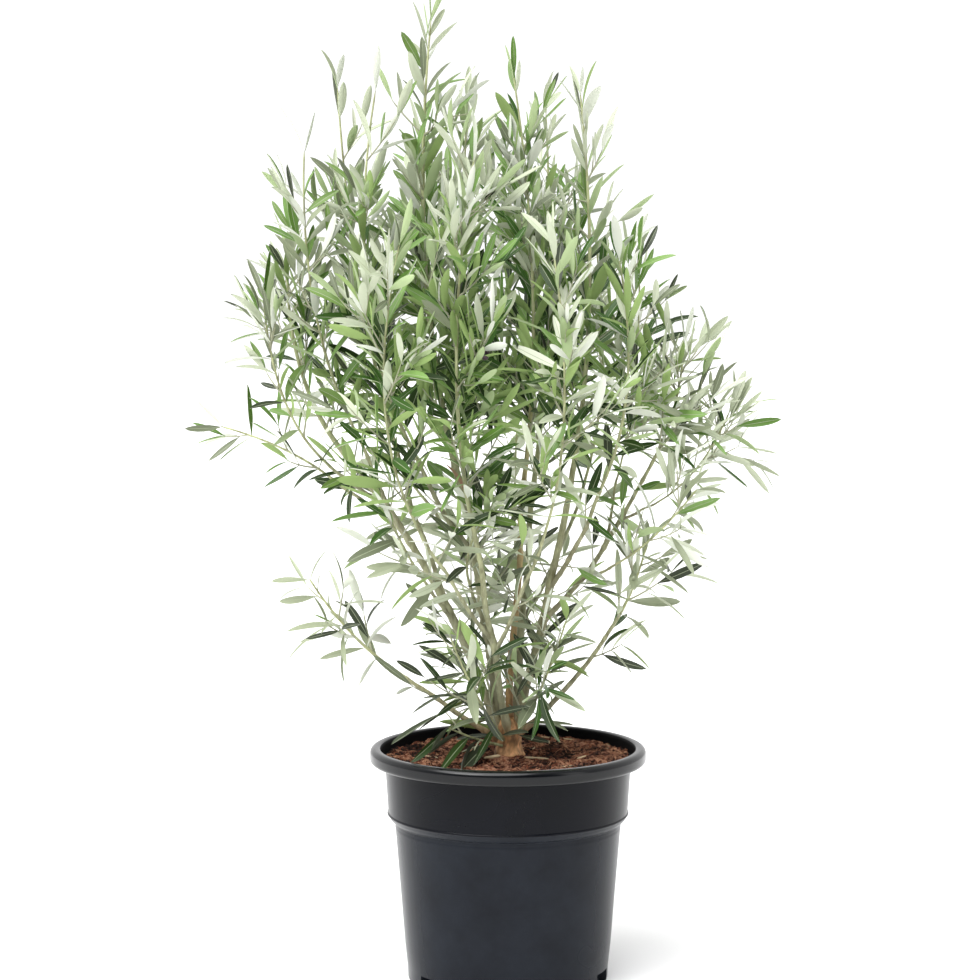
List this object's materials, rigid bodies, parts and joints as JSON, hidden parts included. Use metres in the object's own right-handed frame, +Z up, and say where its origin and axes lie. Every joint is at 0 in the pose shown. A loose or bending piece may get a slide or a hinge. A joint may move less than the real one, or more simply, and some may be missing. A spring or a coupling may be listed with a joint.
{
  "type": "potted olive tree",
  "caption": "Young many-stemmed olive tree with narrow grey-green leaves, growing in a round black nursery pot filled with brown compost.",
  "frame": {"origin": "middle of the pot's flat underside, on the ground", "axes": "+Z up through the pot's axis, +X to the tree's right and +Y to its back, seen from the side on which the low left shoot hangs to the left"},
  "size_m": [0.6459, 0.5038, 1.075],
  "materials": {
    "pot": "satin injection-moulded black plastic",
    "soil": "loose fibrous brown coir compost",
    "burl_bark": "rough tan-brown bark",
    "bark": "smooth young grey-green bark",
    "foliage": "leathery leaves, grey-green above and silvery beneath"
  },
  "bodies": {
    "root": {"pot": "pot", "soil": "soil", "trunk": "burl_bark", "left_stem": "bark", "centre_stem": "bark", "back_stem": "bark", "front_stem": "bark", "left_front_stem": "bark", "right_stem": "bark", "low_left_bough": "bark", "low_right_bough": "bark", "left_fork_bough": "bark", "upper_left_bough": "bark", "tall_left_bough": "bark", "outer_left_bough": "bark", "wide_left_bough": "bark", "long_left_bough": "bark", "front_left_bough": "bark", "front_right_bough": "bark", "back_left_bough": "bark", "back_right_bough": "bark", "back_low_bough": "bark", "inner_right_bough": "bark", "right_fan_bough": "bark", "outer_right_bough": "bark", "far_right_bough": "bark", "low_fan_bough": "bark", "left_low_bough": "bark", "inner_low_bough": "bark", "left_stem_leaves": "foliage", "centre_stem_leaves": "foliage", "back_stem_leaves": "foliage", "front_stem_leaves": "foliage", "left_front_stem_leaves": "foliage", "right_stem_leaves": "foliage", "low_left_bough_leaves": "foliage", "low_right_bough_leaves": "foliage", "left_fork_bough_leaves": "foliage", "upper_left_bough_leaves": "foliage", "tall_left_bough_leaves": "foliage", "outer_left_bough_leaves": "foliage", "wide_left_bough_leaves": "foliage", "long_left_bough_leaves": "foliage", "front_left_bough_leaves": "foliage", "front_right_bough_leaves": "foliage", "back_left_bough_leaves": "foliage", "back_right_bough_leaves": "foliage", "back_low_bough_leaves": "foliage", "inner_right_bough_leaves": "foliage", "right_fan_bough_leaves": "foliage", "outer_right_bough_leaves": "foliage", "far_right_bough_leaves": "foliage", "low_fan_bough_leaves": "foliage", "left_low_bough_leaves": "foliage", "inner_low_bough_leaves": "foliage", "front_low_sprig": "foliage", "right_low_sprig": "foliage", "back_low_sprig": "foliage", "drooping_sprig": "foliage"}
  },
  "joints": []
}
